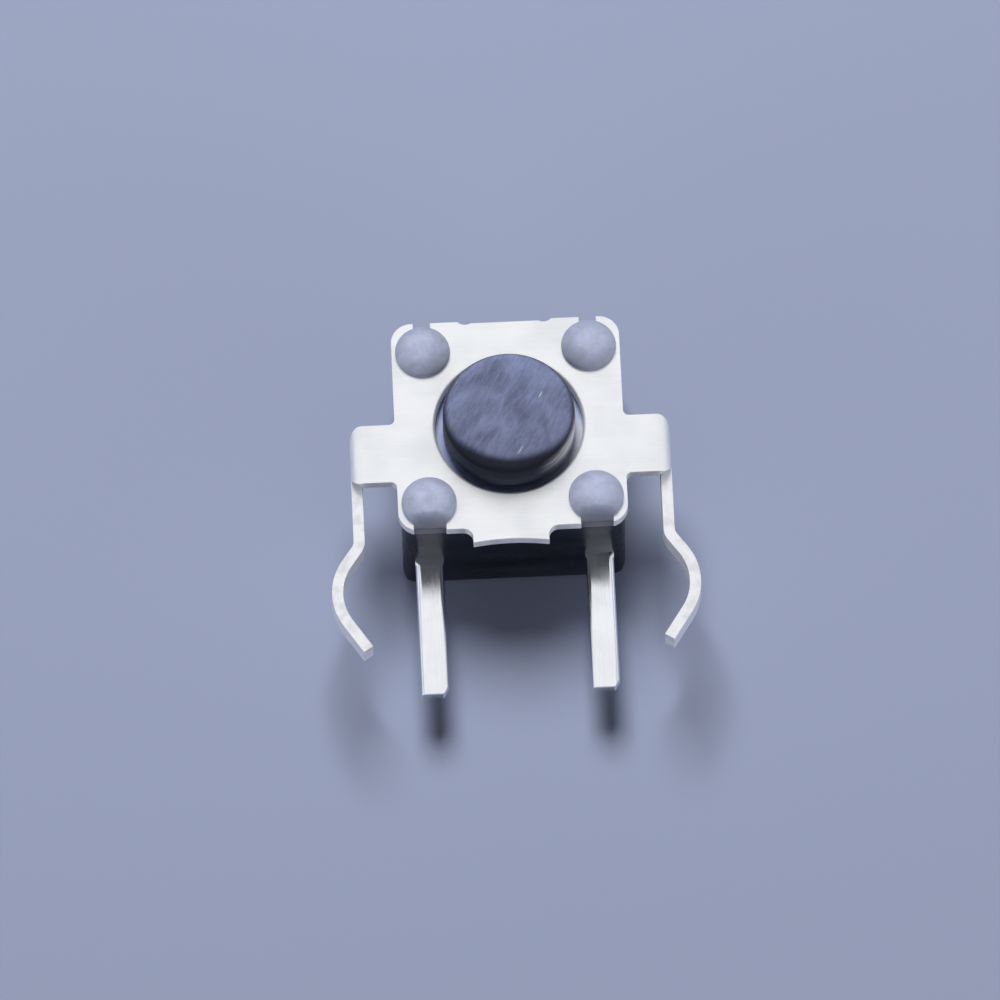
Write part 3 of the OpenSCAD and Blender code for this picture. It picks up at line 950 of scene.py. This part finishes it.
class SWITCH_OT_base(Operator):
    """Builds the moulded base with its chamber and the terminals' pockets."""

    bl_idname = "switch.base"
    bl_label = "Moulded base"

    def execute(self, context):
        scene = context.scene
        s = in_mm(scene.switch_base)
        seat = COVER_HIGH.z / MM - in_mm(scene.switch_cover).thickness
        bm = packed_solid("base")
        # The stakes are cut off just under the seat, which is then lifted into place.
        cut = seat - 0.02
        cut_across(bm, (0, 0, cut), (0, 0, 1), drop_outer=True)
        rim = [e for e in bm.edges if e.is_boundary]
        bmesh.ops.triangle_fill(bm, use_beauty=True, use_dissolve=False, edges=rim)
        for v in bm.verts:
            if v.co.z > cut - 1e-4:
                v.co.z = seat
        join_flat_faces(bm)
        outward(bm)
        wall = BASE_HIGH.x / MM - 0.5  # The seat's outer edges lie past this.

        def on_seat_edge(edge):
            corners = [v.co for v in edge.verts]
            level = all(abs(c.z - seat) < 1e-3 for c in corners)
            outer = all(max(abs(c.x), abs(c.y)) > wall for c in corners)
            return level and outer and edge.calc_face_angle(0) > 1

        weigh_edges(bm, on_seat_edge)
        drawn = new_object("drawn", mesh_from(bm, "base_block"))
        add_bevel(drawn, s.seat_radius, 4)
        plastic = gloss_plastic("base_plastic", scene.switch_base.plastic)
        piece_from(evaluated_mesh(drawn), "moulded_base", "switch", ["base"],
                   [plastic], 32)
        return {"FINISHED"}


class SWITCH_OT_stakes(Operator):
    """Builds the melted heads of the four heat stakes."""

    bl_idname = "switch.stakes"
    bl_label = "Heat stakes"

    def execute(self, context):
        scene = context.scene
        s = in_mm(scene.switch_stakes)
        sheet = in_mm(scene.switch_cover).thickness
        seat = COVER_HIGH.z / MM - sheet
        neck, rim = s.neck_diameter / 2, s.head_diameter / 2
        profile = [(0, 0), (neck, 0), (neck, sheet), (rim, sheet),
                   *reversed(cap(rim, sheet + s.rim_height, s.dome_height, 16))]
        plastic = hazed_plastic_with_painted_light("stake_plastic", scene.switch_base.plastic,
                                scene.switch_stakes.haze, s.pitch)
        head = turned(profile, "stake_profile", plastic, 96)
        stakes = stake_tree(plastic).run(
            head, pitch=s.pitch, seat=seat, sheet=sheet, fill_width=s.fill_width,
            fill_reach=BASE_HIGH.y / MM - s.pitch / 2, run_height=s.run_height)
        drawn = new_object("drawn", stakes)
        melt = drawn.modifiers.new("melt", "REMESH")
        melt.mode = "VOXEL"
        melt.voxel_size = MELT_GRID
        soft = drawn.modifiers.new("soft", "SMOOTH")
        soft.factor, soft.iterations = 0.5, 6
        melted = evaluated_mesh(drawn)
        sink_lower_heads(melted, s, seat + sheet)
        piece_from(melted, "heat_stakes", "switch", ["base"], [plastic], 180)
        return {"FINISHED"}


def smooth_step(low, high, value):
    share = min(1.0, max(0.0, (value - low) / (high - low)))
    return share * share * (3 - 2 * share)


def sink_lower_heads(mesh, s, cover_top):
    """Lets the front of the lower heads sink to the plastic that ran out of the notch."""
    level = cover_top + 0.3 * s.run_height
    for v in mesh.vertices:
        if v.co.y < 0 and v.co.z > level:
            front = -v.co.y - s.pitch / 2
            aside = abs(abs(v.co.x) - s.pitch / 2)
            sunk = smooth_step(0.36, 0.70, front) * smooth_step(0.58, 0.30, aside)
            v.co.z = level + (v.co.z - level) * (1 - sunk)


class SWITCH_OT_cover(Operator):
    """Builds the stamped cover with its ears and snap legs, as one folded sheet."""

    bl_idname = "switch.cover"
    bl_label = "Cover bracket"

    def execute(self, context):
        scene = context.scene
        s, leg = in_mm(scene.switch_cover), in_mm(scene.switch_legs)
        tin = scene.switch_cover.tin
        faces, sides = tinned_sheet("cover_tin", tin), sheared_edge("cover_shear", tin)
        bm = cover_sheet(s, leg, in_mm(scene.switch_stakes).pitch / 2, faces)
        drawn = new_object("drawn", mesh_from(bm, "cover_sheet"))
        for material in (faces, sides):
            drawn.data.materials.append(material)
        solid = drawn.modifiers.new("sheet", "SOLIDIFY")
        solid.thickness = s.thickness
        solid.offset = -1
        solid.use_even_offset = True
        solid.material_offset_rim = 1
        add_bevel(drawn, s.hole_roll, 5)
        add_bevel(drawn, s.edge_roll, 3, 40)
        piece_from(evaluated_mesh(drawn), "folded_cover", "switch", ["cover_bracket"],
                   [faces, sides])
        return {"FINISHED"}


def edge_share(edge, start, middle):
    """How much of the full rounding a terminal's edge gets. From start on, below and inside the
    base, the strip is square. Its upper face looks the button's way."""
    a, b = (v.co for v in edge.verts)
    if max(a.y, b.y) > start + 0.01 or edge.calc_face_angle(0) < 0.2:
        return 0.0
    if abs(a.y - b.y) > 1.0 and abs(a.x - b.x) < 0.01:
        return 1.0 if a.z > middle else LOWER_EDGE
    return TIP_EDGE if max(a.y, b.y) < start - 0.5 else 0.0


class SWITCH_OT_terminals(Operator):
    """Builds the two terminals with their rounded edges."""

    bl_idname = "switch.terminals"
    bl_label = "Terminals"

    def execute(self, context):
        settings = context.scene.switch_terminals
        s = in_mm(settings)
        tin = terminal_strip("terminal_tin", settings.tin)
        for node in ("contact_terminal", "common_terminal"):
            bm = packed_solid(node)
            join_flat_faces(bm)
            start = BASE_LOW.y / MM - s.edge_round
            cut_across(bm, (0, start, 0), (0, 1, 0))
            outward(bm)
            middle = sum(v.co.z for v in bm.verts) / len(bm.verts)
            weigh_edges(bm, lambda e: edge_share(e, start, middle))
            drawn = new_object("drawn", mesh_from(bm, node + "_strip"))
            add_bevel(drawn, s.edge_round, 4)
            piece_from(evaluated_mesh(drawn), node + "_strip", "switch", [node], [tin])
        return {"FINISHED"}


class SWITCH_OT_button(Operator):
    """Builds the plunger with its button."""

    bl_idname = "switch.button"
    bl_label = "Button"

    def execute(self, context):
        settings = context.scene.switch_button
        s = in_mm(settings)
        top, flange = PLUNGER_HIGH.z / MM, PLUNGER_HIGH.x / MM
        button, edge, soft, nub_edge = s.diameter / 2, s.edge_radius, 0.03, 0.1
        flange_top = COVER_HIGH.z / MM - in_mm(context.scene.switch_cover).thickness - s.flange_play
        flange_low, nub, nub_low = flange_top - s.flange_height, s.nub_diameter / 2, PLUNGER_LOW.z / MM
        profile = [(0, nub_low), *arc((nub - nub_edge, nub_low + nub_edge), nub_edge, -90, 0, 6),
                   (nub, flange_low),
                   *arc((flange - soft, flange_low + soft), soft, -90, 0, 3),
                   *arc((flange - soft, flange_top - soft), soft, 0, 90, 3),
                   (button, flange_top), *arc((button - edge, top - edge), edge, 0, 90, 10)]
        profile += [(r, top - TOP_DISH * (1 - (r / (button - edge)) ** 2))
                    for r in steps_between(button - edge - 0.12, 0, 8)]
        plastic = button_plastic("button_plastic", settings.top, settings.side, top, edge)
        mesh = turned(profile, "plunger_profile", plastic, s.segments)
        piece_from(closed(mesh), "button_plunger", "button", ["plunger"], [plastic], 32)
        return {"FINISHED"}


class SWITCH_OT_dome(Operator):
    """Builds the snap dome at rest. The real one flattens as the button is pressed."""

    bl_idname = "switch.dome"
    bl_label = "Snap dome"

    def execute(self, context):
        s = in_mm(context.scene.switch_button)
        low, rim, sheet = DOME_LOW.z / MM, DOME_HIGH.x / MM, s.dome_thickness
        rise = DOME_HIGH.z / MM - low
        profile = [*cap(rim, low, rise, 20), *reversed(cap(rim - sheet, low, rise - sheet, 20))]
        steel = spring_sheet("dome_spring")
        mesh = turned(profile, "dome_profile", steel, s.segments)
        dome = piece_from(closed(mesh), "snap_dome_disc", "switch", ["snap_dome"],
                          [steel])
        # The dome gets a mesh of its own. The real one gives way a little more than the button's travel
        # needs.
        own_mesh(dome)
        return {"FINISHED"}


class SWITCH_PT_panel(Panel):
    """Lists the steps that build the switch."""

    bl_idname = "SWITCH_PT_panel"
    bl_label = "Tactile Switch"
    bl_space_type = "VIEW_3D"
    bl_region_type = "UI"
    bl_category = "Tactile Switch"

    def draw(self, context):
        for step in STEPS:
            self.layout.operator(step.bl_idname)
        for key, group in GROUPS.items():
            box = self.layout.box()
            box.label(text=group.__doc__)
            for name in group.__annotations__:
                box.prop(getattr(context.scene, key), name)


GROUPS = {"switch_stage": StageSettings, "switch_base": BaseSettings, "switch_stakes": StakeSettings,
          "switch_cover": CoverSettings, "switch_legs": LegSettings,
          "switch_terminals": TerminalSettings, "switch_button": ButtonSettings}
STEPS = (SWITCH_OT_stage, SWITCH_OT_base, SWITCH_OT_stakes, SWITCH_OT_cover, SWITCH_OT_terminals,
         SWITCH_OT_button, SWITCH_OT_dome)


def register():
    for made in (*GROUPS.values(), *STEPS, SWITCH_PT_panel):
        bpy.utils.register_class(made)
    for key, group in GROUPS.items():
        setattr(bpy.types.Scene, key, PointerProperty(type=group))


def unregister():
    for key in GROUPS:
        delattr(bpy.types.Scene, key)
    for made in (SWITCH_PT_panel, *reversed(STEPS), *reversed(GROUPS.values())):
        bpy.utils.unregister_class(made)


def main():
    register()
    bpy.ops.switch.stage()
    bpy.ops.switch.base()
    bpy.ops.switch.stakes()
    bpy.ops.switch.cover()
    bpy.ops.switch.terminals()
    bpy.ops.switch.button()
    bpy.ops.switch.dome()


if __name__ == "__main__":
    main()
